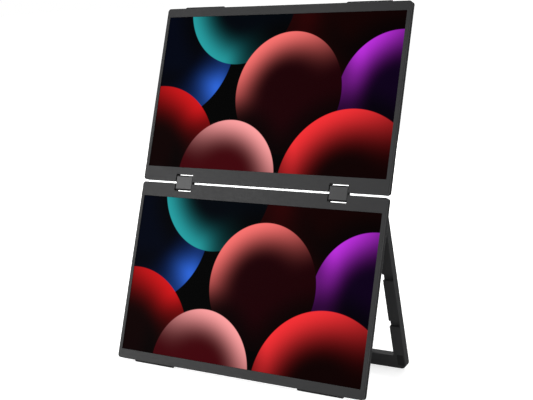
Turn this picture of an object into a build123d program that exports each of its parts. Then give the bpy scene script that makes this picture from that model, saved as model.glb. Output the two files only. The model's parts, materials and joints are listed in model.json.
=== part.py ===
from build123d import *
import math
import os

# Dual portable monitor: two wide panels on a two-axis hinge, with a U-shaped stand behind the lower one.
# Millimetres. The pieces are modelled with both panels upright in one plane: x to the right, y back from
# the front faces, z up, with z = 0 on the hinge line between the panels. The whole is then leaned back
# until the feet and the opened stand touch the floor at z = 0.

# Panels
panel_thickness = 8.0
panel_gap = 2.5
panel_corner_radius = 4.0
front_round = 0.8
rear_round = 1.8
bezel_depth = 2.0
cover_wall = 1.6
cover_floor = 1.6

# Display
active_width = 344.16
active_height = 193.59
side_bezel = 5.3
hinge_bezel = 18.0
far_bezel = 11.6
bezel_lip = 0.7
window_margin = 0.3
module_side_border = 2.6
module_hinge_border = 4.0
module_far_border = 8.0
module_clearance = 0.15
screen_thickness = 1.2
backlight_thickness = 1.9
driver_board_width = 240.0
driver_board_height = 14.0
driver_board_thickness = 1.0
driver_board_inset = 6.0
driver_board_corner = 1.0

# Hinge links, pins and brackets
hinge_share = 0.632
hinge_axis_inset = 4.0
bracket_screw_inset = 2.0
notch_width = 26.0
notch_reach = 10.8
notch_wall = 1.4
notch_corner_radius = 1.2
link_side_gap = 0.75
link_end_reach = 3.95
link_thickness = 6.8
link_end_round = 0.8
link_edge_round = 0.5
pin_diameter = 2.6
pin_running_clearance = 0.05
pin_seat_clearance = 0.02
pin_wall_clearance = 0.3
bracket_plate = 1.2
bracket_gap = 0.2
bracket_lug_width = 6.0
bracket_lug_height = 7.0
bracket_ear_width = 5.6
screw_head_diameter = 3.4
screw_head_height = 1.0
screw_shank_diameter = 1.8
screw_bite = 1.0
screw_clearance = 0.15

# Feet on the lower panel and matching bumpers on the upper panel
foot_share = 0.677
foot_length = 60.3
foot_end_slope = 0.6
foot_radius = 1.6
foot_proud = 2.0
foot_seat_depth = 0.8
foot_depth = 3.7
floor_facet = 0.25

# Electronics cover behind the lower panel
housing_side_gap = 2.0
housing_bar_gap = 2.95
housing_notch_gap = 0.8
housing_depth = 9.4
housing_wall = 1.6
housing_corner_radius = 3.0
housing_inner_radius = 0.5
housing_round = 2.2
housing_boss_radius = 3.2
housing_boss_inset = 12.0
housing_boss_board_gap = 10.3
housing_screw_sink = 1.2
cable_window_width = 90.0
cable_window_height = 16.0
cable_window_start = 60.0
vent_count = 15
vent_pitch = 7.0
vent_width = 2.4
vent_height = 22.0
vent_share = 0.66

# Main board, sockets, switches and buttons
board_width = 60.0
board_height = 96.0
board_rise = 4.0
board_thickness = 1.2
board_standoff = 1.5
board_edge_gap = 1.6
standoff_radius = 2.6
standoff_inset = 5.0
usb_width = 8.9
usb_height = 3.2
usb_length = 7.4
usb_shares = (0.718, 0.855)
hdmi_width = 11.2
hdmi_height = 3.2
hdmi_length = 7.5
hdmi_share = 0.573
socket_wall = 0.35
socket_recess = 0.5
socket_hole_clearance = 0.35
tongue_thickness = 0.7
button_width = 6.4
button_height = 2.8
button_proud = 0.7
button_flange = 0.6
button_flange_depth = 0.8
button_stem_width = 1.6
button_stem_length = 0.6
button_clearance = 0.1
button_edge_round = 0.3
button_travel = 0.35
switch_play = 0.1
switch_size = 3.6
button_shares = {"power_button": 0.115, "menu_button": 0.229, "up_button": 0.328, "down_button": 0.427}

# Stand
stand_open_angle = 30.0
stand_side_inset = 7.38
stand_arm_width = 14.5
stand_thickness = 9.4
stand_panel_gap = 0.3
stand_bottom_inset = 11.49
stand_bar_height = 16.0
stand_corner_radius = 6.5
stand_inner_radius = 2.5
stand_edge_round = 0.6
stand_pin_diameter = 3.5
stand_pin_reach = 10.5
stand_bracket_plate = 1.5
stand_bracket_lug = 8.0
stand_bracket_width = 11.5
stand_bracket_height = 22.0
stand_bracket_gap = 0.4
stand_bracket_wall = 0.9
stand_bracket_screw_drop = 13.0
washer_radius = 4.2
washer_gap = 0.1
arm_groove_shares = (0.4063, 0.7054)
arm_groove_height = 7.2
arm_groove_depth = 4.0
arm_groove_outer_land = 0.8
rest_pad_width = 8.5
rest_pad_height = 13.5
rest_pad_thickness = 1.2
rest_pad_proud = 0.2
rest_pad_rise = 11.1
rest_pad_side_land = 1.5
rest_pad_radius = 1.0
sole_end_inset = 12.0
sole_proud = 1.2
sole_front_inset = 2.9

# Values worked out from the sizes above
panel_width = active_width + 2 * side_bezel
panel_height = hinge_bezel + active_height + far_bezel
panel_top = -panel_gap / 2
panel_bottom = panel_top - panel_height
panel_half = panel_width / 2
hinge_offset = hinge_share * panel_half
foot_offset = foot_share * panel_half
axis_drop = panel_gap / 2 + hinge_axis_inset
axis_depth = panel_thickness / 2
cover_inner_depth = panel_thickness - cover_floor
active_top = panel_top - hinge_bezel
active_bottom = active_top - active_height
module_half = active_width / 2 + module_side_border
module_top = active_top + module_hinge_border
module_bottom = active_bottom - module_far_border
backlight_depth = bezel_lip + screen_thickness
module_rear = backlight_depth + backlight_thickness
pin_radius = pin_diameter / 2
link_width = notch_width - 2 * link_side_gap
bracket_lug_start = notch_width / 2 + notch_wall + bracket_gap
bracket_lug_end = bracket_lug_start + bracket_lug_width
bracket_half = bracket_lug_end + bracket_ear_width
bracket_front = bezel_depth + bracket_gap
screw_offset = bracket_lug_end + bracket_ear_width / 2
screw_drop = axis_drop + bracket_screw_inset
housing_top = -notch_reach - housing_notch_gap
stand_pin_radius = stand_pin_diameter / 2
stand_pivot_drop = housing_wall + bracket_gap + stand_bracket_wall + stand_pin_radius - housing_top
stand_width = panel_width - 2 * stand_side_inset
stand_half = stand_width / 2
stand_inner = stand_half - stand_arm_width
stand_front = panel_thickness + stand_panel_gap
stand_rear = stand_front + stand_thickness
stand_end_radius = stand_thickness / 2
stand_pivot_depth = stand_front + stand_end_radius
stand_bottom = panel_bottom + stand_bottom_inset
stand_length = -stand_pivot_drop - stand_bottom
sole_depth = stand_front + sole_front_inset
housing_half = stand_inner - housing_side_gap
housing_bottom = stand_bottom + stand_bar_height + housing_bar_gap
housing_height = housing_top - housing_bottom
housing_rear = panel_thickness + housing_depth
housing_inner_depth = housing_rear - housing_wall
board_left = -housing_half + housing_wall + board_edge_gap
board_right = board_left + board_width
board_top = housing_bottom + board_rise + board_height
board_front = panel_thickness + board_standoff
board_rear = board_front + board_thickness
usb_heights = [board_top - share * board_height for share in usb_shares]
hdmi_place = board_top - hdmi_share * board_height
button_heights = {name: board_top - share * board_height for name, share in button_shares.items()}
SIDES = {"left": -1, "right": 1}


def block(x, y, z):
    """A box between the two limits given for each axis."""
    center = Pos(sum(x) / 2, sum(y) / 2, sum(z) / 2)
    return center * Box(abs(x[1] - x[0]), abs(y[1] - y[0]), abs(z[1] - z[0]))


def slab(outline, front, rear):
    """An outline drawn in x and z, extruded from the depth of its front to the depth of its rear."""
    return extrude(Plane.XZ.offset(-front) * outline, rear - front, dir=(0, 1, 0))


def rod(radius, y, z, x):
    """A round bar along x between two limits."""
    center = Pos(sum(x) / 2, y, z)
    return center * Rot(0, 90, 0) * Cylinder(radius, abs(x[1] - x[0]))


def peg(radius, x, z, y):
    """A round bar along y between two depths."""
    center = Pos(x, sum(y) / 2, z)
    return center * Rot(90, 0, 0) * Cylinder(radius, abs(y[1] - y[0]))


def rectangle(half_width, bottom, top, radius):
    """An outline centred on x = 0 with rounded corners."""
    return Pos(0, (top + bottom) / 2) * RectangleRounded(2 * half_width, top - bottom, radius)


def rear_edges(solid):
    return solid.faces().sort_by(Axis.Y)[-1].edges()


def front_edges(solid):
    return solid.faces().sort_by(Axis.Y)[0].edges()


def hinge_notch(side):
    """The opening through a panel that a hinge link swings in."""
    outline = RectangleRounded(notch_width, 2 * notch_reach, notch_corner_radius)
    return slab(Pos(side * hinge_offset, 0) * outline, -panel_thickness, 2 * panel_thickness)


# Panel shells


def front_bezel():
    outline = rectangle(panel_half, panel_bottom, panel_top, panel_corner_radius)
    bezel = slab(outline, 0, bezel_depth)
    bezel = fillet(front_edges(bezel), front_round)
    seat = block(
        (-module_half - module_clearance, module_half + module_clearance),
        (bezel_lip, bezel_depth),
        (module_bottom - module_clearance, module_top + module_clearance),
    )
    window = block(
        (-active_width / 2 - window_margin, active_width / 2 + window_margin),
        (0, bezel_lip),
        (active_bottom - window_margin, active_top + window_margin),
    )
    bezel -= seat + window
    for side in SIDES.values():
        bezel -= hinge_notch(side)
    return bezel


def foot_profile(proud):
    """Section of a rubber strip: a flat tongue in its groove and a round bead standing proud of the edge."""
    center = foot_radius - proud
    half = math.sqrt(foot_radius**2 - center**2)
    bead = Pos(0, center) * Circle(foot_radius)
    bead &= Pos(0, -foot_radius) * Rectangle(2 * foot_radius, 2 * foot_radius)
    tongue = Pos(0, foot_seat_depth / 2) * Rectangle(2 * half, foot_seat_depth)
    return bead + tongue


def foot_groove_width(proud):
    center = foot_radius - proud
    return 2 * math.sqrt(foot_radius**2 - center**2)


def rubber_strip(length, proud, depth, edge):
    """A rubber strip along x under an edge that faces down, with steep ends."""
    side_plane = Plane((-length / 2, depth, edge), x_dir=(0, 1, 0), z_dir=(1, 0, 0))
    strip = extrude(side_plane * foot_profile(proud), length)
    half = length / 2
    slope = make_face(
        Polyline(
            (-half, foot_seat_depth),
            (half, foot_seat_depth),
            (half, 0),
            (half - foot_end_slope, -proud),
            (foot_end_slope - half, -proud),
            (-half, 0),
            close=True,
        )
    )
    return strip & slab(Pos(0, edge) * slope, depth - foot_radius, depth + foot_radius)


def foot(side):
    return Pos(side * foot_offset, 0, 0) * rubber_strip(foot_length, foot_proud, foot_depth, panel_bottom)


def foot_groove(side):
    half = foot_groove_width(foot_proud) / 2
    return block(
        (side * foot_offset - foot_length / 2, side * foot_offset + foot_length / 2),
        (foot_depth - half, foot_depth + half),
        (panel_bottom, panel_bottom + foot_seat_depth),
    )


def bracket_screw_places():
    for side in SIDES.values():
        for hand in (-1, 1):
            yield side * hinge_offset + hand * screw_offset


def rear_cover():
    """The tray behind a panel, with walled notches for the links and grooves for the rubber strips."""
    outline = rectangle(panel_half, panel_bottom, panel_top, panel_corner_radius)
    cover = slab(outline, bezel_depth, panel_thickness)
    cover = fillet(rear_edges(cover), rear_round)
    inner = rectangle(
        panel_half - cover_wall,
        panel_bottom + cover_wall,
        panel_top - cover_wall,
        panel_corner_radius - cover_wall,
    )
    cover -= slab(inner, bezel_depth, cover_inner_depth)
    for side in SIDES.values():
        center = side * hinge_offset
        half = notch_width / 2 + notch_wall
        cover += block(
            (center - half, center + half),
            (bezel_depth, cover_inner_depth),
            (-notch_reach - notch_wall, panel_top - cover_wall),
        )
        cover -= hinge_notch(side)
        cover -= rod(pin_radius + pin_wall_clearance, axis_depth, -axis_drop, (center - half, center + half))
        cover -= foot_groove(side)
    for place in bracket_screw_places():
        hole = screw_shank_diameter / 2 + pin_seat_clearance
        cover -= peg(hole, place, -screw_drop, (cover_inner_depth, cover_inner_depth + screw_bite))
    return cover


def screen():
    return block((-module_half, module_half), (bezel_lip, backlight_depth), (module_bottom, module_top))


def backlight():
    return block((-module_half, module_half), (backlight_depth, module_rear), (module_bottom, module_top))


def driver_board():
    bottom = module_bottom + driver_board_inset
    board = rectangle(driver_board_width / 2, bottom, bottom + driver_board_height, driver_board_corner)
    return slab(board, module_rear, module_rear + driver_board_thickness)


# Two-axis hinge


def hinge_link(side):
    """The block that joins the panels, with one bore on each fold axis."""
    reach = axis_drop + link_end_reach
    profile = RectangleRounded(link_thickness, 2 * reach, link_end_round)
    start = side * hinge_offset - link_width / 2
    side_plane = Plane((start, axis_depth, 0), x_dir=(0, 1, 0), z_dir=(1, 0, 0))
    link = extrude(side_plane * profile, link_width)
    link = chamfer(link.faces().filter_by(Axis.X).edges(), link_edge_round)
    bore = pin_radius + pin_running_clearance
    for height in (-axis_drop, axis_drop):
        link -= rod(bore, axis_depth, height, (start, start + link_width))
    return link


def hinge_pin(side):
    center = side * hinge_offset
    return rod(pin_radius, axis_depth, -axis_drop, (center - bracket_lug_end, center + bracket_lug_end))


def hinge_bracket(side):
    """A steel plate round the notch, screwed to the cover, with a lug for the pin on each side."""
    center = side * hinge_offset
    plate_front = cover_inner_depth - bracket_plate
    top = panel_top - cover_wall - bracket_gap
    bottom = module_top + bracket_gap
    plate_y = (plate_front, cover_inner_depth)
    bracket = block((center - bracket_half, center + bracket_half), plate_y, (bottom, top))
    bracket -= block(
        (center - bracket_lug_start, center + bracket_lug_start),
        plate_y,
        (-notch_reach - notch_wall - bracket_gap, top),
    )
    for hand in (-1, 1):
        lug_x = (center + hand * bracket_lug_start, center + hand * bracket_lug_end)
        bracket += block(lug_x, (bracket_front, plate_front), (top - bracket_lug_height, top))
        bracket -= rod(pin_radius + pin_seat_clearance, axis_depth, -axis_drop, lug_x)
        hole = screw_shank_diameter / 2 + screw_clearance
        place = center + hand * screw_offset
        bracket -= peg(hole, place, -screw_drop, plate_y)
    return bracket


def screw(x, z, seat, bite):
    """A screw with its head in front of its seat, biting towards the rear."""
    head = peg(screw_head_diameter / 2, x, z, (seat - screw_head_height, seat))
    return head + peg(screw_shank_diameter / 2, x, z, (seat, seat + bite))


def bracket_screws():
    seat = cover_inner_depth - bracket_plate
    return [screw(x, -screw_drop, seat, bracket_plate + screw_bite) for x in bracket_screw_places()]


# Electronics behind the lower panel


def housing_boss_places():
    pitch = -board_right - housing_boss_board_gap
    for x in (-pitch, 0, pitch):
        for z in (housing_top - housing_boss_inset, housing_bottom + housing_boss_inset):
            yield x, z


def stadium(width, height, clearance=0):
    """A slot outline, long in z, for the side wall of the electronics cover."""
    return SlotOverall(width + 2 * clearance, height + 2 * clearance, rotation=90)


def side_hole(outline, depth, place):
    """An outline cut through the left wall of the electronics cover."""
    wall = Plane((-housing_half - button_proud, depth, place), x_dir=(0, 1, 0), z_dir=(1, 0, 0))
    return extrude(wall * outline, housing_wall + 2 * button_proud)


def socket_depth(height):
    return board_rear + height / 2


def lower_rear_cover():
    cover = rear_cover()
    cover -= block(
        (-cable_window_width / 2, cable_window_width / 2),
        (cover_inner_depth, panel_thickness),
        (-cable_window_start - cable_window_height, -cable_window_start),
    )
    for x, z in standoff_places():
        cover += peg(standoff_radius, x, z, (panel_thickness, board_front))
        hole = screw_shank_diameter / 2 + pin_seat_clearance
        cover -= peg(hole, x, z, (board_front - screw_bite, board_front))
    for x, z in list(housing_boss_places()) + list(stand_screw_places()):
        hole = screw_shank_diameter / 2 + pin_seat_clearance
        cover -= peg(hole, x, z, (panel_thickness - screw_bite, panel_thickness))
    return cover


def electronics_cover():
    """The raised cover inside the U of the stand, open towards the panel."""
    outline = rectangle(housing_half, housing_bottom, housing_top, housing_corner_radius)
    cover = slab(outline, panel_thickness, housing_rear)
    cover = fillet(rear_edges(cover), housing_round)
    inner = rectangle(
        housing_half - housing_wall,
        housing_bottom + housing_wall,
        housing_top - housing_wall,
        housing_inner_radius,
    )
    cover -= slab(inner, panel_thickness, housing_inner_depth)
    head = screw_head_diameter / 2 + screw_clearance
    shank = screw_shank_diameter / 2 + screw_clearance
    seat = housing_rear - screw_head_height - housing_screw_sink
    for x, z in housing_boss_places():
        cover += peg(housing_boss_radius, x, z, (panel_thickness, housing_inner_depth))
        cover -= peg(shank, x, z, (panel_thickness, seat))
        cover -= peg(head, x, z, (seat, housing_rear))
    for side in SIDES.values():
        hole_x = (side * (housing_half - housing_wall), side * housing_half)
        cover -= rod(stand_pin_radius + pin_wall_clearance, stand_pivot_depth, -stand_pivot_drop, hole_x)
    usb_hole = stadium(usb_width, usb_height, socket_hole_clearance)
    for place in usb_heights:
        cover -= side_hole(usb_hole, socket_depth(usb_height), place)
    cover -= side_hole(hdmi_outline(socket_hole_clearance), socket_depth(hdmi_height), hdmi_place)
    for place in button_heights.values():
        cover -= side_hole(stadium(button_width, button_height, button_clearance), button_depth(), place)
    return cover - vents()


def vents():
    """A row of upright slots through the rear of the electronics cover."""
    row = Pos(0, housing_bottom + vent_share * housing_height) * GridLocations(vent_pitch, 0, vent_count, 1)
    return slab(Sketch() + row * stadium(vent_height, vent_width), housing_inner_depth, housing_rear)


def cover_screws():
    """Screws put in from behind, with their heads sunk in the electronics cover."""
    seat = housing_rear - screw_head_height - housing_screw_sink
    tip = panel_thickness - screw_bite
    pieces = []
    for x, z in housing_boss_places():
        head = peg(screw_head_diameter / 2, x, z, (seat, seat + screw_head_height))
        pieces.append(head + peg(screw_shank_diameter / 2, x, z, (tip, seat)))
    return pieces


def standoff_places():
    for x in (board_left + standoff_inset, board_right - standoff_inset):
        for z in (board_top - standoff_inset, board_top - board_height + standoff_inset):
            yield x, z


def main_board():
    board = block(
        (board_left, board_right),
        (board_front, board_rear),
        (board_top - board_height, board_top),
    )
    for x, z in standoff_places():
        board -= peg(screw_shank_diameter / 2 + screw_clearance, x, z, (board_front, board_rear))
    return board


def board_screws():
    pieces = []
    for x, z in standoff_places():
        head = peg(screw_head_diameter / 2, x, z, (board_rear, board_rear + screw_head_height))
        pieces.append(head + peg(screw_shank_diameter / 2, x, z, (board_front - screw_bite, board_rear)))
    return pieces


def socket(outline, opening, length, tongue_width, height, place):
    """A socket shell on the board, closed at its inner end, with a contact tongue."""
    mouth = -housing_half + socket_recess
    plane = Plane((mouth, socket_depth(height), place), x_dir=(0, 1, 0), z_dir=(1, 0, 0))
    shell = extrude(plane * outline, length)
    shell -= extrude(plane * opening, length - socket_wall)
    tongue_start = plane.offset(socket_wall + tongue_thickness)
    tongue = extrude(tongue_start * Rectangle(tongue_thickness, tongue_width), length - 2 * tongue_thickness)
    return shell + tongue


def usb_c_socket(place):
    outline = stadium(usb_width, usb_height)
    opening = stadium(usb_width, usb_height, -socket_wall)
    return socket(outline, opening, usb_length, usb_width - usb_height, usb_height, place)


def hdmi_outline(clearance=0):
    """A flat slot that narrows towards the board on both sides."""
    half = hdmi_width / 2 + clearance
    low = hdmi_height / 2 + clearance
    corners = [(low, -half), (low, half), (0, half), (-low, half - low), (-low, low - half), (0, -half)]
    return make_face(Polyline(*corners, close=True))


def mini_hdmi_socket():
    opening = hdmi_outline(-socket_wall)
    return socket(hdmi_outline(), opening, hdmi_length, hdmi_width - hdmi_height, hdmi_height, hdmi_place)


def button_depth():
    return board_rear + switch_size / 2


def button(place):
    """A side button: cap through the wall, flange behind it and a stem in front of its switch."""
    outer = -housing_half - button_proud
    flange_face = -housing_half + housing_wall + button_clearance
    plane = Plane((outer, button_depth(), place), x_dir=(0, 1, 0), z_dir=(1, 0, 0))
    cap = extrude(plane * stadium(button_width, button_height), flange_face - outer)
    cap = fillet(cap.faces().sort_by(Axis.X)[0].edges(), button_edge_round)
    plane = Plane((flange_face, button_depth(), place), x_dir=(0, 1, 0), z_dir=(1, 0, 0))
    flange = extrude(plane * stadium(button_width, button_height, button_flange), button_flange_depth)
    stem_x = (flange_face, flange_face + button_flange_depth + button_stem_length)
    stem = rod(button_stem_width / 2, button_depth(), place, stem_x)
    return cap + flange + stem


def tact_switches():
    stem_end = -housing_half + housing_wall + button_clearance + button_flange_depth + button_stem_length
    front = stem_end + button_travel + switch_play
    half = switch_size / 2
    pieces = []
    for place in button_heights.values():
        body = block(
            (front + half, front + half + switch_size),
            (board_rear, board_rear + switch_size),
            (place - half, place + half),
        )
        pieces.append(body + rod(button_stem_width / 2, button_depth(), place, (front, front + half)))
    return pieces


# Stand


def stand_screw_places():
    for side in SIDES.values():
        x = side * (housing_half - housing_wall - stand_bracket_gap - stand_bracket_width / 2)
        yield x, -stand_pivot_drop - stand_bracket_screw_drop


def stand_bracket(side):
    """A bracket on the rear of the lower panel that holds the stand's pin."""
    outer = side * (housing_half - housing_wall - stand_bracket_gap)
    inner = outer - side * stand_bracket_width
    top = -stand_pivot_drop + stand_pin_radius + stand_bracket_wall
    bottom = top - stand_bracket_height
    plate_rear = panel_thickness + stand_bracket_plate
    bracket = block((inner, outer), (panel_thickness, plate_rear), (bottom, top))
    lug_rear = stand_pivot_depth + stand_pin_radius + stand_bracket_wall
    lug = block(
        (inner, outer),
        (plate_rear, lug_rear),
        (-stand_pivot_drop - stand_bracket_lug / 2, top),
    )
    bracket += lug
    bore = stand_pin_radius + pin_seat_clearance
    bracket -= rod(bore, stand_pivot_depth, -stand_pivot_drop, (inner, outer))
    x = (inner + outer) / 2
    z = -stand_pivot_drop - stand_bracket_screw_drop
    bracket -= peg(screw_shank_diameter / 2 + screw_clearance, x, z, (panel_thickness, plate_rear))
    return bracket


def stand_bracket_screws():
    plate_rear = panel_thickness + stand_bracket_plate
    pieces = []
    for x, z in stand_screw_places():
        head = peg(screw_head_diameter / 2, x, z, (plate_rear, plate_rear + screw_head_height))
        pieces.append(head + peg(screw_shank_diameter / 2, x, z, (panel_thickness - screw_bite, plate_rear)))
    return pieces


def stand_pin(side):
    inner = side * (housing_half - housing_wall - stand_bracket_gap - stand_bracket_width)
    outer = side * (stand_inner + stand_pin_reach)
    return rod(stand_pin_radius, stand_pivot_depth, -stand_pivot_drop, (inner, outer))


def stand_washer(side):
    x = (side * (housing_half + washer_gap), side * (stand_inner - washer_gap))
    washer = rod(washer_radius, stand_pivot_depth, -stand_pivot_drop, x)
    return washer - rod(stand_pin_radius + pin_running_clearance, stand_pivot_depth, -stand_pivot_drop, x)


def stand_outline():
    """The U of the stand, from its pivot line down to the foot bar."""
    middle = -stand_pivot_drop - stand_length / 2
    outer = Pos(0, middle) * Rectangle(stand_width, stand_length)
    outer = fillet(outer.vertices().group_by(Axis.Y)[0], stand_corner_radius)
    inner = Rectangle(2 * stand_inner, stand_length - stand_bar_height)
    inner = Pos(0, middle + stand_bar_height / 2) * inner
    inner = fillet(inner.vertices().group_by(Axis.Y)[0], stand_inner_radius)
    return outer - inner


def stand_frame():
    """The U-shaped stand, drawn folded flat behind the lower panel."""
    frame = slab(stand_outline(), stand_front, stand_rear)
    for side in SIDES.values():
        end_x = (side * stand_inner, side * stand_half)
        frame += rod(stand_end_radius, stand_pivot_depth, -stand_pivot_drop, end_x)
    frame = fillet(frame.edges(), stand_edge_round)
    for cut in stand_cuts():
        frame -= cut
    return frame


def stand_cuts():
    """Bores, grooves and recesses of the stand."""
    cuts = []
    for side in SIDES.values():
        bore_x = (side * stand_inner, side * (stand_inner + stand_pin_reach + pin_wall_clearance))
        bore = stand_pin_radius + pin_running_clearance
        cuts.append(rod(bore, stand_pivot_depth, -stand_pivot_drop, bore_x))
        for share in arm_groove_shares:
            height = -stand_pivot_drop - share * stand_length
            groove_x = (side * stand_inner, side * (stand_half - arm_groove_outer_land))
            groove_z = (height - arm_groove_height / 2, height + arm_groove_height / 2)
            cuts.append(block(groove_x, (stand_front, stand_front + arm_groove_depth), groove_z))
        recess = rest_pad_outline(side)
        cuts.append(slab(recess, stand_front, stand_front + rest_pad_thickness - rest_pad_proud))
    half = foot_groove_width(sole_proud) / 2
    reach = stand_half - sole_end_inset
    groove_z = (stand_bottom, stand_bottom + foot_seat_depth)
    cuts.append(block((-reach, reach), (sole_depth - half, sole_depth + half), groove_z))
    return cuts


def rest_pad_outline(side):
    x = side * (stand_half - rest_pad_side_land - rest_pad_width / 2)
    outline = RectangleRounded(rest_pad_width, rest_pad_height, rest_pad_radius)
    return Pos(x, stand_bottom + rest_pad_rise) * outline


def rest_pad(side):
    front = stand_front - rest_pad_proud
    return slab(rest_pad_outline(side), front, front + rest_pad_thickness)


def stand_sole():
    length = stand_width - 2 * sole_end_inset
    return rubber_strip(length, sole_proud, sole_depth, stand_bottom)


def panel_pieces():
    """The pieces that both panels share, as they lie in the lower panel."""
    pieces = {
        "front_bezel": front_bezel(),
        "screen": screen(),
        "backlight": backlight(),
        "driver_board": driver_board(),
        "bracket_screws": Compound(children=bracket_screws()),
    }
    for name, side in SIDES.items():
        pieces[name + "_hinge_bracket"] = hinge_bracket(side)
        pieces[name + "_hinge_pin"] = hinge_pin(side)
        pieces[name + "_foot"] = foot(side)
    return pieces


def electronics_pieces():
    pieces = {
        "lower_rear_cover": lower_rear_cover(),
        "electronics_cover": electronics_cover(),
        "cover_screws": Compound(children=cover_screws()),
        "main_board": main_board(),
        "board_screws": Compound(children=board_screws()),
        "mini_hdmi_socket": mini_hdmi_socket(),
        "tact_switches": Compound(children=tact_switches()),
        "stand_bracket_screws": Compound(children=stand_bracket_screws()),
    }
    for number, place in enumerate(usb_heights, start=1):
        pieces[f"usb_c_socket_{number}"] = usb_c_socket(place)
    for name, place in button_heights.items():
        pieces[name] = button(place)
    for name, side in SIDES.items():
        pieces[name + "_stand_bracket"] = stand_bracket(side)
        pieces[name + "_stand_pin"] = stand_pin(side)
        pieces[name + "_stand_washer"] = stand_washer(side)
    return pieces


def stand_pieces():
    pieces = {"stand_frame": stand_frame(), "stand_sole": stand_sole()}
    for name, side in SIDES.items():
        pieces[name + "_rest_pad"] = rest_pad(side)
    return pieces


def turned(point, angle):
    """A point in depth and height, turned about x by an angle in degrees."""
    cosine = math.cos(math.radians(angle))
    sine = math.sin(math.radians(angle))
    return point[0] * cosine - point[1] * sine, point[0] * sine + point[1] * cosine


def opened(point):
    """Where a point of the folded stand lies once the stand is open."""
    depth, height = turned((point[0] - stand_pivot_depth, point[1] + stand_pivot_drop), stand_open_angle)
    return depth + stand_pivot_depth, height - stand_pivot_drop


def main():
    pieces = {}
    for name, piece in panel_pieces().items():
        pieces["lower_" + name] = piece
        pieces["upper_" + name.replace("foot", "bumper")] = mirror(piece, Plane.XY)
    pieces["upper_rear_cover"] = mirror(rear_cover(), Plane.XY)
    pieces.update(electronics_pieces())
    for name, side in SIDES.items():
        pieces[name + "_hinge_link"] = hinge_link(side)
    open_stand = Pos(0, stand_pivot_depth, -stand_pivot_drop) * Rot(stand_open_angle, 0, 0)
    open_stand *= Pos(0, -stand_pivot_depth, stand_pivot_drop)
    for name, piece in stand_pieces().items():
        pieces[name] = open_stand * piece

    # The floor touches the beads of the feet and of the sole, which have the same radius.
    foot_center = (foot_depth, panel_bottom + foot_radius - foot_proud)
    sole_center = opened((sole_depth, stand_bottom + foot_radius - sole_proud))
    lean = math.degrees(math.atan2(sole_center[1] - foot_center[1], sole_center[0] - foot_center[0]))
    floor = turned(foot_center, -lean)[1] - foot_radius + floor_facet
    leaned = {name: Rot(-lean, 0, 0) * piece for name, piece in pieces.items()}
    box = Compound(children=[Compound(piece.solids()) for piece in leaned.values()]).bounding_box()
    middle = (box.min.Y + box.max.Y) / 2
    placed = {name: Pos(0, -middle, -floor) * piece for name, piece in leaned.items()}
    below_floor = block((-panel_half, panel_half), (-panel_height, panel_height), (-foot_radius, 0))
    for name in ("lower_left_foot", "lower_right_foot", "stand_sole"):
        placed[name] -= below_floor

    os.makedirs("parts", exist_ok=True)
    for name, piece in placed.items():
        export_step(piece, f"parts/{name}.step")

    print(f"lean {lean:.4f} degrees, shift in depth {-middle:.4f}, in height {-floor:.4f}")
    axes = {
        "lower_fold": (axis_depth, -axis_drop),
        "upper_fold": (axis_depth, axis_drop),
        "stand_swing": (stand_pivot_depth, -stand_pivot_drop),
    }
    for name, point in axes.items():
        depth, height = turned(point, -lean)
        print(f"{name} axis along x at depth {depth - middle:.4f} height {height - floor:.4f}")


main()
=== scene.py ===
import json
import math

import bmesh
import bpy
from mathutils import Matrix, Quaternion, Vector


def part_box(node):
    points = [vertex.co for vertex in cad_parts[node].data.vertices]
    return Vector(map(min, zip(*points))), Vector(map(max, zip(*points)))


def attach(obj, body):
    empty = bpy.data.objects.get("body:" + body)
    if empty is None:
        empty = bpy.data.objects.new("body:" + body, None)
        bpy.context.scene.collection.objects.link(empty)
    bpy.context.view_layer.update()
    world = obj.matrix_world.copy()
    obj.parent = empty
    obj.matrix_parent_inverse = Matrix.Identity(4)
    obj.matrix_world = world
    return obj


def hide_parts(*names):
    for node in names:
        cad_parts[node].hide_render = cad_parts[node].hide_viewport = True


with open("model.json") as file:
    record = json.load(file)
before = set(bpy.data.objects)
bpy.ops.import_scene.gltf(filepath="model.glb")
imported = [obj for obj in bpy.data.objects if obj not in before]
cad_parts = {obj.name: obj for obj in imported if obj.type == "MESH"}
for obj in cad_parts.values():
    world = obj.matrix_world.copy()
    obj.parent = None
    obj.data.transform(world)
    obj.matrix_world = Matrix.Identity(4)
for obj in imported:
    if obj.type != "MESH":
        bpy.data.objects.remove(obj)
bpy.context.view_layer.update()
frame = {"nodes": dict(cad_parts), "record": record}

# Sizes in metres
ACTIVE_WIDTH = 0.34416
ACTIVE_HEIGHT = 0.19359
ACTIVE_CENTER_DROP = 0.116045
AXIS_DEPTH = 0.004
NOTCH_REACH = 0.0108
LINK_SIDE_GAP = 0.00075
# Distance from the hinge middle beyond which the links' ends get painted shade
LINK_SHADE_FROM = 0.0075

# Camera, fitted to the corners of both screens, the outer edges of the panels and the stand
CAMERA_PLACE = (0.7998, -1.11276, 0.47008)
CAMERA_AZIMUTH = 33.9611
CAMERA_ELEVATION = 9.9969
CAMERA_ROLL = -3.3165
CAMERA_LENS = 78.922
CAMERA_SHIFT = (-0.05034, -0.04998)
SENSOR_WIDTH = 36.0

# The surroundings' light from the left and the right, and the white that the camera sees
LEFT_LEVEL = 0.66
RIGHT_LEVEL = 0.4
WHITE_LEVEL = 1.0

FLOOR_HALF_WIDTH = 12.0
FLOOR_DROP = 0.0002
FLOOR_TONE = 0.8
FLOOR_LIFT = 0.66

# Each lamp: name, place, width and height, power in watts
LAMP_TARGET = (0, 0, 0.2)
LAMPS = (
    ("key", (-0.8, -0.78, 0.36), (0.4, 1.4), 8.8),
    ("edge", (1.07, -1.19, 0.5), (0.4, 0.6), 7.6),
    ("back", (-0.5, 1.6, 0.7), (1.3, 1.0), 30.0),
)

RIGHT = Vector((1, 0, 0))


def joint_place(name):
    """A joint's position at rest."""
    for joint in frame["record"]["behaviour"]["joints"]:
        if joint["name"] == name:
            return Vector(joint["pos_m"])
    raise KeyError(name)


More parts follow.
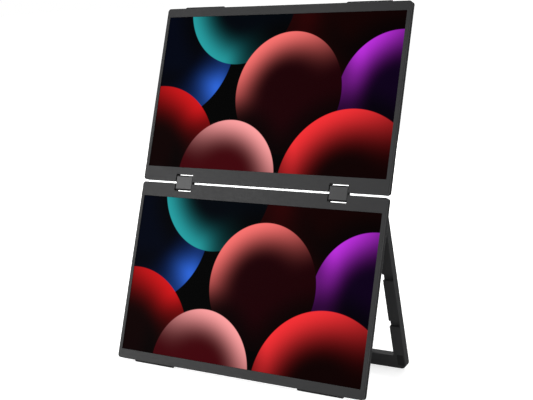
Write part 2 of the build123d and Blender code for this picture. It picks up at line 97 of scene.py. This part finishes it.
# The panels' own axes: both fold axes lie in the middle of the panels' thickness
lower_axis = joint_place("lower_fold")
upper_axis = joint_place("upper_fold")
UP = (upper_axis - lower_axis).normalized()
FRONT = RIGHT.cross(UP)
HINGE_MIDDLE = (lower_axis + upper_axis) / 2 + FRONT * AXIS_DEPTH

# The notches that the hinge links swing in
link_low, link_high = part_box("right_hinge_link")
HINGE_OFFSET = (link_low[0] + link_high[0]) / 2
NOTCH_HALF = (link_high[0] - link_low[0]) / 2 + LINK_SIDE_GAP


# Node helpers


class Nodes:
    """A material's node tree, with short calls for the nodes used here."""

    def __init__(self, name):
        self.material = bpy.data.materials.new(name)
        self.material.use_nodes = True
        self.tree = self.material.node_tree
        self.shader = self.tree.nodes["Principled BSDF"]
        coordinates = self.add("ShaderNodeTexCoord")
        self.place = coordinates.outputs["Object"]
        self.normal = coordinates.outputs["Normal"]

    def add(self, kind, **settings):
        node = self.tree.nodes.new(kind)
        for key, value in settings.items():
            setattr(node, key, value)
        return node

    def feed(self, socket, value):
        """Link a socket to another one, or set its value."""
        if isinstance(value, bpy.types.NodeSocket):
            self.tree.links.new(value, socket)
        else:
            socket.default_value = value

    def math(self, operation, *values, clamp=False):
        node = self.add("ShaderNodeMath", operation=operation, use_clamp=clamp)
        for socket, value in zip(node.inputs, values):
            self.feed(socket, value)
        return node.outputs[0]

    def vector(self, operation, *values):
        node = self.add("ShaderNodeVectorMath", operation=operation)
        for socket, value in zip(node.inputs, values):
            self.feed(socket, value)
        return node.outputs["Value"] if operation in ("DOT_PRODUCT", "LENGTH") else node.outputs["Vector"]

    def along(self, offset, axis):
        """How far an offset reaches along an axis."""
        return self.vector("DOT_PRODUCT", offset, axis)

    def absolute(self, value):
        """A number without its sign."""
        return self.math("ABSOLUTE", value)

    def blend(self, factor, first, second, mode="MIX"):
        node = self.add("ShaderNodeMix", data_type="RGBA", blend_type=mode)
        self.feed(node.inputs["Factor"], factor)
        self.feed(node.inputs["A"], first)
        self.feed(node.inputs["B"], second)
        return node.outputs["Result"]

    def spread(self, value, low, high, to_low=0.0, to_high=1.0):
        """A smooth step from one level to another."""
        node = self.add("ShaderNodeMapRange", interpolation_type="SMOOTHSTEP")
        keys = ("Value", "From Min", "From Max", "To Min", "To Max")
        for key, number in zip(keys, (value, low, high, to_low, to_high)):
            self.feed(node.inputs[key], number)
        return node.outputs["Result"]

    def noise(self, scale, detail=2.0, roughness=0.5, stretch=None):
        """Noise of so many waves to a metre."""
        place = self.place if stretch is None else self.vector("MULTIPLY", self.place, stretch)
        node = self.add("ShaderNodeTexNoise")
        self.feed(node.inputs["Vector"], place)
        for key, value in (("Scale", scale), ("Detail", detail), ("Roughness", roughness)):
            node.inputs[key].default_value = value
        return node.outputs["Fac"]

    def ramp(self, factor, *stops):
        node = self.add("ShaderNodeValToRGB")
        self.feed(node.inputs["Fac"], factor)
        for element, (position, color) in zip(node.color_ramp.elements, stops):
            element.position = position
            element.color = (*color, 1.0)
        return node.outputs["Color"]

    def tint(self, noise, color, darker, lighter, low=0.3, high=0.7):
        """A colour that a noise makes darker and lighter."""
        return self.ramp(noise, (low, shade(color, darker)), (high, shade(color, lighter)))

    def vary(self, noise, to_low, to_high, low=0.3, high=0.7):
        """A number that a noise moves between two levels."""
        return self.spread(noise, low, high, to_low, to_high)

    def bump(self, height, strength, depth):
        node = self.add("ShaderNodeBump")
        node.inputs["Strength"].default_value = strength
        node.inputs["Distance"].default_value = depth
        self.feed(node.inputs["Height"], height)
        self.feed(self.shader.inputs["Normal"], node.outputs["Normal"])

    def set(self, **values):
        """Set or link the shader's sockets by name."""
        for key, value in values.items():
            self.feed(self.shader.inputs[key.replace("_", " ")], value)


def gray(level):
    """A gray that leans a little to blue."""
    return (level, level, level * 1.03)


def shade(color, factor):
    return tuple(channel * factor for channel in color)


# Materials

BLACK = (0, 0, 0, 1)
WHITE = (1, 1, 1, 1)

# Painted shade on the notch walls and on the links' sides and ends: its near-black tone, its roughness
# and the width over which it ends
WALL_SHADE_COLOR = (*gray(0.004), 1)
WALL_ROUGHNESS = 0.95
WALL_SHADE_BLUR = 0.0001


def facing_front(nodes):
    """1 where a face looks straight forwards, -1 where it looks back."""
    return nodes.along(nodes.normal, FRONT)


def wide_face(nodes):
    """1 on faces that look forwards or back, 0 on edges and ends."""
    return nodes.spread(nodes.absolute(facing_front(nodes)), low=0.45, high=0.75)


def notch_wall_shade(nodes):
    """1 on the walls of the notches that the hinge links swing in, which get painted shade."""
    offset = nodes.vector("SUBTRACT", nodes.place, HINGE_MIDDLE)
    across = nodes.absolute(nodes.along(offset, RIGHT))
    beside = nodes.absolute(nodes.math("SUBTRACT", across, HINGE_OFFSET))
    above = nodes.absolute(nodes.along(offset, UP))
    inside = nodes.math(
        "MULTIPLY",
        nodes.spread(beside, NOTCH_HALF + 2 * WALL_SHADE_BLUR, NOTCH_HALF + WALL_SHADE_BLUR),
        nodes.spread(above, NOTCH_REACH + 2 * WALL_SHADE_BLUR, NOTCH_REACH + WALL_SHADE_BLUR),
    )
    return nodes.math("SUBTRACT", inside, wide_face(nodes), clamp=True)


def moulded_plastic(name, color, roughness, gloss=0.12):
    """Dark plastic with a fine spark-eroded grain, faint, wide changes of tone and painted shade on the
    notch walls.
    """
    nodes = Nodes(name)
    clouds = nodes.noise(scale=18.0, detail=3.0)
    patches = nodes.noise(scale=260.0, detail=4.0)
    grain = nodes.noise(scale=2600.0, roughness=0.6)
    tone = nodes.tint(clouds, color, darker=0.94, lighter=1.06)
    nodes.set(
        # The notch walls get painted shade, near black, in place of the plastic's tone
        Base_Color=nodes.blend(notch_wall_shade(nodes), tone, WALL_SHADE_COLOR),
        Roughness=nodes.vary(patches, roughness - 0.05, roughness + 0.05),
        Specular_IOR_Level=gloss,
    )
    nodes.bump(grain, strength=0.35, depth=0.00002)
    return nodes.material


def painted_metal(name, color, roughness):
    """Satin paint on the wide faces of the links, and painted shade, near black and matt, on their sides
    and ends.
    """
    nodes = Nodes(name)
    grain = nodes.noise(scale=900.0, detail=3.0, roughness=0.6)
    paint = nodes.tint(grain, color, darker=0.92, lighter=1.08)
    above = nodes.absolute(nodes.along(nodes.vector("SUBTRACT", nodes.place, HINGE_MIDDLE), UP))
    inside = nodes.spread(above, LINK_SHADE_FROM + 2 * WALL_SHADE_BLUR, LINK_SHADE_FROM)
    unshaded_face = nodes.math("MULTIPLY", inside, wide_face(nodes))
    satin = nodes.vary(grain, roughness - 0.05, roughness + 0.05, low=0.25, high=0.75)
    nodes.set(
        # The links' sides and ends get painted shade in place of the satin paint
        Base_Color=nodes.blend(unshaded_face, WALL_SHADE_COLOR, paint),
        Roughness=nodes.spread(unshaded_face, 0.0, 1.0, WALL_ROUGHNESS, satin),
        Specular_IOR_Level=0.29,
    )
    nodes.bump(grain, strength=0.25, depth=0.00001)
    return nodes.material


def rubber(name, color):
    """Matt rubber with a coarse grain."""
    nodes = Nodes(name)
    clouds = nodes.noise(scale=90.0, detail=4.0)
    grain = nodes.noise(scale=1800.0, detail=3.0, roughness=0.7)
    nodes.set(
        Base_Color=nodes.tint(clouds, color, darker=0.85, lighter=1.3, high=0.72),
        Roughness=nodes.vary(clouds, 0.72, 0.86),
        Specular_IOR_Level=0.1,
    )
    nodes.bump(grain, strength=0.5, depth=0.00004)
    return nodes.material


def brushed_metal(name, color, roughness):
    """Metal with fine lines drawn along x."""
    nodes = Nodes(name)
    lines = nodes.noise(scale=5200.0, detail=3.0, roughness=0.6, stretch=(0.04, 1.0, 1.0))
    nodes.set(
        Base_Color=nodes.tint(lines, color, darker=0.88, lighter=1.1),
        Roughness=nodes.vary(lines, roughness - 0.06, roughness + 0.08, low=0.25, high=0.75),
        Metallic=1.0,
    )
    nodes.bump(lines, strength=0.25, depth=0.00001)
    return nodes.material


def circuit_board(name):
    """Green solder mask with a faint pattern of tracks under it."""
    nodes = Nodes(name)
    tracks = nodes.add("ShaderNodeTexBrick")
    settings = {
        "Vector": nodes.place,
        "Scale": 260.0,
        "Mortar Size": 0.06,
        "Color1": (0.01, 0.11, 0.045, 1),
        "Color2": (0.012, 0.14, 0.055, 1),
        "Mortar": (0.02, 0.2, 0.08, 1),
    }
    for key, value in settings.items():
        nodes.feed(tracks.inputs[key], value)
    patches = nodes.noise(scale=400.0)
    nodes.set(Base_Color=tracks.outputs["Color"], Roughness=nodes.vary(patches, 0.28, 0.4))
    return nodes.material


def diffuser(name, sheet_tones, tray_tone):
    """White sheet in front, with a dark tray round its back."""
    nodes = Nodes(name)
    clouds = nodes.noise(scale=60.0)
    darker, lighter = sheet_tones
    sheet = nodes.ramp(clouds, (0.2, gray(darker)), (0.8, gray(lighter)))
    front = nodes.spread(facing_front(nodes), low=0.4, high=0.7)
    nodes.set(
        Base_Color=nodes.blend(front, (*gray(tray_tone), 1), sheet),
        Roughness=nodes.vary(clouds, 0.3, 0.42),
    )
    return nodes.material


# Picture on the screens: overlapping round sheets, each lit along one side, with a soft shadow below it.
# Each sheet: centre across and up, radius, direction of its lit side in degrees, lit colour, dark colour.
# The unit is half the width of the picture.
SHEETS = (
    ((0.70, 0.56), 0.66, 250, (0.40, 0.006, 0.010), (0.006, 0.0, 0.0)),
    ((-0.92, 0.34), 0.56, -30, (0.03, 0.14, 0.72), (0.0, 0.001, 0.006)),
    ((-0.34, 0.66), 0.46, 225, (0.02, 0.34, 0.36), (0.0, 0.001, 0.003)),
    ((1.00, -0.02), 0.46, 150, (0.50, 0.03, 0.72), (0.004, 0.0, 0.010)),
    ((-0.96, -0.50), 0.54, 40, (0.62, 0.008, 0.010), (0.004, 0.0, 0.0)),
    ((0.14, 0.00), 0.44, 120, (0.95, 0.17, 0.16), (0.012, 0.0, 0.001)),
    ((0.70, -0.66), 0.56, 125, (0.90, 0.03, 0.035), (0.004, 0.0, 0.0)),
    ((-0.30, -0.62), 0.42, 65, (1.0, 0.36, 0.36), (0.05, 0.001, 0.003)),
)
SHEET_SHADOW = 0.20
SHADOW_TONE = 0.25
SHEET_EDGE = 0.006
SHEET_CORE = 0.3
SHEET_LIT_FROM = -0.25
SHEET_FALLOFF = 1.7
PICTURE_EDGE = 0.001


def sheets_color(nodes, across, up):
    """The colour of the sheets at a place on the screen."""
    place = nodes.add("ShaderNodeCombineXYZ")
    nodes.feed(place.inputs["X"], across)
    nodes.feed(place.inputs["Y"], up)
    color = BLACK
    for (x, y), radius, angle, lit, dark in SHEETS:
        offset = nodes.vector("SUBTRACT", place.outputs[0], (x, y, 0))
        distance = nodes.vector("LENGTH", offset)
        shadow = nodes.spread(distance, radius, radius + SHEET_SHADOW, SHADOW_TONE, 1.0)
        color = nodes.blend(1.0, color, shadow, "MULTIPLY")
        light = (math.cos(math.radians(angle)), math.sin(math.radians(angle)), 0)
        side_on = nodes.spread(nodes.along(offset, light), SHEET_LIT_FROM * radius, radius)
        tone = nodes.math("MULTIPLY", nodes.spread(distance, SHEET_CORE * radius, radius), side_on)
        sheet = nodes.blend(nodes.math("POWER", tone, SHEET_FALLOFF), (*dark, 1), (*lit, 1))
        inside = nodes.spread(distance, radius, radius - SHEET_EDGE)
        color = nodes.blend(inside, color, sheet)
    return color


def lit_screen(name, side):
    """Black glass with a picture; side is 1 for the upper panel and -1 for the lower one."""
    nodes = Nodes(name)
    center = HINGE_MIDDLE + UP * side * ACTIVE_CENTER_DROP
    offset = nodes.vector("SUBTRACT", nodes.place, center)
    across = nodes.math("DIVIDE", nodes.along(offset, RIGHT), ACTIVE_WIDTH / 2)
    up = nodes.math("DIVIDE", nodes.along(offset, UP), ACTIVE_WIDTH / 2)
    ratio = ACTIVE_HEIGHT / ACTIVE_WIDTH
    beside = nodes.spread(nodes.absolute(across), 1.0, 1.0 + PICTURE_EDGE)
    above = nodes.spread(nodes.absolute(up), ratio, ratio + PICTURE_EDGE)
    front = nodes.spread(facing_front(nodes), low=0.5, high=0.6)
    shown = nodes.math("SUBTRACT", front, nodes.math("MAXIMUM", beside, above), clamp=True)
    grain = nodes.noise(scale=3800.0, detail=1.0)
    nodes.set(
        Base_Color=nodes.ramp(grain, (0.3, gray(0.0004)), (0.7, gray(0.0008))),
        Roughness=nodes.vary(grain, 0.36, 0.44),
        Specular_IOR_Level=0.004,
        Emission_Color=nodes.blend(shown, BLACK, sheets_color(nodes, across, up)),
        Emission_Strength=1.0,
    )
    return nodes.material


# One material for each slot, and those of the nodes that have a finish of their own
materials = {
    "bezel_plastic": moulded_plastic("bezel_plastic", gray(0.026), roughness=0.46),
    "case_plastic": moulded_plastic("case_plastic", gray(0.016), roughness=0.46, gloss=0.03),
    "stand_plastic": moulded_plastic("stand_plastic", gray(0.034), roughness=0.55, gloss=0.02),
    "backlight_plastic": diffuser("backlight_plastic", sheet_tones=(0.72, 0.8), tray_tone=0.03),
    "circuit_board": circuit_board("circuit_board"),
    "hinge_metal": painted_metal("hinge_metal", gray(0.024), roughness=0.38),
    "rubber": rubber("rubber", gray(0.011)),
    "button_plastic": moulded_plastic("button_plastic", gray(0.022), roughness=0.45),
    "socket_metal": brushed_metal("socket_metal", gray(0.5), roughness=0.3),
    "steel": brushed_metal("steel", gray(0.42), roughness=0.34),
}
blackened_steel = brushed_metal("blackened_steel", gray(0.035), roughness=0.42)
own_finish = {
    "upper_screen": lit_screen("upper_picture", 1),
    "lower_screen": lit_screen("lower_picture", -1),
    "cover_screws": blackened_steel,
    "left_stand_washer": blackened_steel,
    "right_stand_washer": blackened_steel,
}

for part in frame["record"]["subparts"]:
    node = frame["nodes"][part["node"]]
    finish = own_finish.get(part["node"]) or materials[part["material_slot"]]
    node.data.materials.clear()
    node.data.materials.append(finish)


# Screws: rounded heads with a cross recess, and pointed tips

SCREW_HEAD_RADIUS = 0.0017
SCREW_HEAD_HEIGHT = 0.001
SCREW_SHANK_RADIUS = 0.0009
SCREW_TIP_RADIUS = 0.35 * SCREW_SHANK_RADIUS
SCREW_POINT_LENGTH = 0.0006
SCREW_SPREAD = 0.004
CROSS_ARM = 0.00105
CROSS_HALF_WIDTH = 0.00028
CROSS_DEPTH = 0.00055
CROSS_TAPER = 0.72
SHARP_ANGLE = math.radians(32)

# Outline of a head from its seat to its top: shares of its height and of its radius
HEAD_OUTLINE = ((0.0, 0.96), (0.1, 1.0), (0.5, 1.0), (0.78, 0.95), (0.94, 0.84), (1.0, 0.7))

# Each node of screws with its body and the way its heads look along FRONT
SCREWS = (
    ("cover_screws", "lower_unit", -1),
    ("board_screws", "lower_unit", -1),
    ("stand_bracket_screws", "lower_unit", -1),
    ("lower_bracket_screws", "lower_unit", 1),
    ("upper_bracket_screws", "upper_unit", 1),
)

# Directions of the points round a screw in degrees, with the cross's corners among them
CORNER_TURN = math.degrees(math.atan(CROSS_HALF_WIDTH / CROSS_ARM))
CORNER_MARGIN = 0.01
QUARTER_TURNS = (0, CORNER_TURN, 30, 45, 60, 90 - CORNER_TURN)
SCREW_TURNS = [start + turn for start in (0, 90, 180, 270) for turn in QUARTER_TURNS]


def cross_reach(turn):
    """Distance from a cross's middle to its outline."""
    past_arm = turn % 90
    from_arm = min(past_arm, 90 - past_arm)
    if from_arm <= CORNER_TURN + CORNER_MARGIN:
        return CROSS_ARM / math.cos(math.radians(from_arm))
    return CROSS_HALF_WIDTH / math.sin(math.radians(from_arm))


def screw_groups(node):
    """The points of each screw in a node."""
    groups = []
    for vertex in node.data.vertices:
        for group in groups:
            gap = vertex.co - group[0]
            if math.hypot(gap.dot(RIGHT), gap.dot(UP)) < SCREW_SPREAD:
                group.append(vertex.co)
                break
        else:
            groups.append([vertex.co])
    return groups


def screw_rings(length):
    """Height and radii of each ring of points, from a screw's tip to the floor of its recess."""
    seat = length - SCREW_HEAD_HEIGHT
    round_rings = [
        (0.0, SCREW_TIP_RADIUS),
        (SCREW_POINT_LENGTH, SCREW_SHANK_RADIUS),
        (seat, SCREW_SHANK_RADIUS),
    ]
    for height_share, radius_share in HEAD_OUTLINE:
        round_rings.append((seat + SCREW_HEAD_HEIGHT * height_share, SCREW_HEAD_RADIUS * radius_share))
    rings = [(height, [radius] * len(SCREW_TURNS)) for height, radius in round_rings]
    cross = [cross_reach(turn) for turn in SCREW_TURNS]
    rings.append((length, cross))
    rings.append((length - CROSS_DEPTH, [reach * CROSS_TAPER for reach in cross]))
    return rings


def add_screw(mesh, points, heading):
    """One screw in the place of the points given."""
    axis = FRONT * heading
    across, up, along = ([point.dot(line) for point in points] for line in (RIGHT, UP, axis))
    middle = RIGHT * (min(across) + max(across)) / 2 + UP * (min(up) + max(up)) / 2
    tip = middle + axis * min(along)
    loops = []
    for height, radii in screw_rings(max(along) - min(along)):
        loop = []
        for turn, radius in zip(SCREW_TURNS, radii):
            angle = math.radians(turn)
            aside = RIGHT * math.cos(angle) * radius + UP * math.sin(angle) * radius
            loop.append(mesh.verts.new(tip + axis * height + aside))
        loops.append(loop)
    for below, above in zip(loops, loops[1:]):
        for index in range(len(below)):
            following = (index + 1) % len(below)
            mesh.faces.new((below[index], below[following], above[following], above[index]))
    mesh.faces.new(loops[0])
    mesh.faces.new(loops[-1])


def dress_screws(node, body, heading):
    """Put screws with cross recesses in the place of a node's plain ones."""
    mesh = bmesh.new()
    for points in screw_groups(frame["nodes"][node]):
        add_screw(mesh, points, heading)
    bmesh.ops.recalc_face_normals(mesh, faces=mesh.faces)
    name = node + "_crosshead"
    data = bpy.data.meshes.new(name)
    mesh.to_mesh(data)
    mesh.free()
    data.shade_smooth()
    data.set_sharp_from_angle(angle=SHARP_ANGLE)
    data.materials.append(own_finish.get(node) or materials["steel"])
    piece = bpy.data.objects.new(name, data)
    bpy.context.collection.objects.link(piece)
    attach(piece, body)
    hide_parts(node)


for screw_node, screw_body, screw_heading in SCREWS:
    dress_screws(screw_node, screw_body, screw_heading)


# Stage: white floor and surroundings, soft lamps and the camera


def ray_is_shown(tree):
    """1 for rays from the camera and for those that gloss or glass sends on."""
    path = tree.nodes.new("ShaderNodeLightPath")
    total = path.outputs["Is Camera Ray"]
    for name in ("Is Glossy Ray", "Is Transmission Ray"):
        node = tree.nodes.new("ShaderNodeMath")
        node.operation = "MAXIMUM"
        tree.links.new(total, node.inputs[0])
        tree.links.new(path.outputs[name], node.inputs[1])
        total = node.outputs[0]
    return total


def white_world():
    """White surroundings that light the object more from the left than from the right."""
    world = bpy.data.worlds.new("studio")
    world.use_nodes = True
    tree = world.node_tree
    background = tree.nodes["Background"]
    background.inputs["Color"].default_value = WHITE
    direction = tree.nodes.new("ShaderNodeSeparateXYZ")
    tree.links.new(tree.nodes.new("ShaderNodeTexCoord").outputs["Generated"], direction.inputs[0])
    light = tree.nodes.new("ShaderNodeMapRange")
    level = tree.nodes.new("ShaderNodeMapRange")
    ends = (("From Min", -1.0), ("From Max", 1.0), ("To Min", LEFT_LEVEL), ("To Max", RIGHT_LEVEL))
    for key, value in ends:
        light.inputs[key].default_value = value
    level.inputs["To Max"].default_value = WHITE_LEVEL
    tree.links.new(direction.outputs["X"], light.inputs["Value"])
    tree.links.new(light.outputs["Result"], level.inputs["To Min"])
    tree.links.new(ray_is_shown(tree), level.inputs["Value"])
    tree.links.new(level.outputs["Result"], background.inputs["Strength"])
    bpy.context.scene.world = world


def floor():
    mesh = bpy.data.meshes.new("floor")
    signs = ((-1, -1), (1, -1), (1, 1), (-1, 1))
    corners = [(x * FLOOR_HALF_WIDTH, y * FLOOR_HALF_WIDTH, -FLOOR_DROP) for x, y in signs]
    mesh.from_pydata(corners, [], [(0, 1, 2, 3)])
    plane = bpy.data.objects.new("floor", mesh)
    bpy.context.collection.objects.link(plane)
    nodes = Nodes("floor_white")
    nodes.set(
        Base_Color=(FLOOR_TONE, FLOOR_TONE, FLOOR_TONE, 1),
        Roughness=0.9,
        Specular_IOR_Level=0.0,
        Emission_Color=WHITE,
        Emission_Strength=nodes.math("MULTIPLY", ray_is_shown(nodes.tree), FLOOR_LIFT),
    )
    mesh.materials.append(nodes.material)


def lamp(name, place, size, power):
    """A soft lamp that looks at the object; its size is its width and height."""
    light = bpy.data.lights.new(name, "AREA")
    light.shape = "ELLIPSE"
    light.size, light.size_y = size
    light.energy = power
    piece = bpy.data.objects.new(name, light)
    piece.location = place
    piece.rotation_euler = (Vector(LAMP_TARGET) - Vector(place)).to_track_quat("-Z", "Y").to_euler()
    bpy.context.collection.objects.link(piece)


def camera():
    azimuth = math.radians(CAMERA_AZIMUTH)
    elevation = math.radians(CAMERA_ELEVATION)
    view = Vector((
        -math.sin(azimuth) * math.cos(elevation),
        math.cos(azimuth) * math.cos(elevation),
        -math.sin(elevation),
    ))
    turn = view.to_track_quat("-Z", "Y") @ Quaternion((0, 0, 1), math.radians(CAMERA_ROLL))
    data = bpy.data.cameras.new("camera")
    data.lens = CAMERA_LENS
    data.sensor_width = SENSOR_WIDTH
    data.shift_x, data.shift_y = CAMERA_SHIFT
    piece = bpy.data.objects.new("camera", data)
    piece.matrix_world = Matrix.Translation(CAMERA_PLACE) @ turn.to_matrix().to_4x4()
    bpy.context.collection.objects.link(piece)
    bpy.context.scene.camera = piece


white_world()
floor()
camera()
for lamp_name, lamp_place, lamp_size, lamp_power in LAMPS:
    lamp(lamp_name, lamp_place, lamp_size, lamp_power)
bpy.context.scene.view_settings.view_transform = "Standard"
